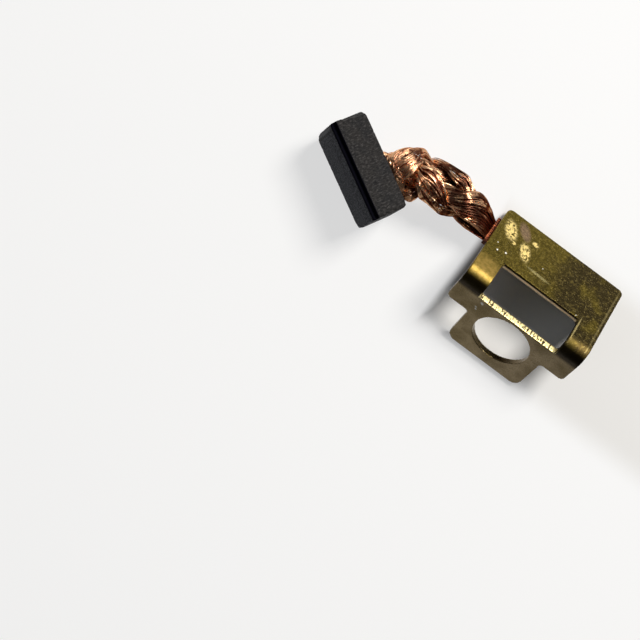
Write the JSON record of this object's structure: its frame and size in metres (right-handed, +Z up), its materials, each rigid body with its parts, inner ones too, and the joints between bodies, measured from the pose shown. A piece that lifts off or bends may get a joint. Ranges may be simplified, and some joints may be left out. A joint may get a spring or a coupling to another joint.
{
  "type": "carbon brush",
  "caption": "Carbon brush: a rectangular carbon block with a plaited copper pigtail welded to a folded brass terminal with a screw hole and a window across its fold.",
  "frame": {"origin": "centre of the bounding box at floor level; the brush lies at rest on the terminal's two free edges and one corner of the block", "axes": "+X along the terminal's fold, from the block towards the terminal; +Y from the hole leg's side towards the weld leg's side; +Z up"},
  "size_m": [0.029, 0.012, 0.006],
  "materials": {
    "carbon": "matte moulded carbon-graphite, fine grain, slightly worn edges",
    "copper": null,
    "brass": "rolled brass sheet, dull olive-gold, handled and lightly scratched"
  },
  "bodies": {
    "root": {"carbon_block": "carbon", "tamping_plug": "copper", "pigtail_bundle_1": "copper", "pigtail_bundle_2": "copper", "pigtail_bundle_3": "copper", "pigtail_bundle_4": "copper", "welded_end": "copper", "terminal": "brass"}
  },
  "joints": []
}
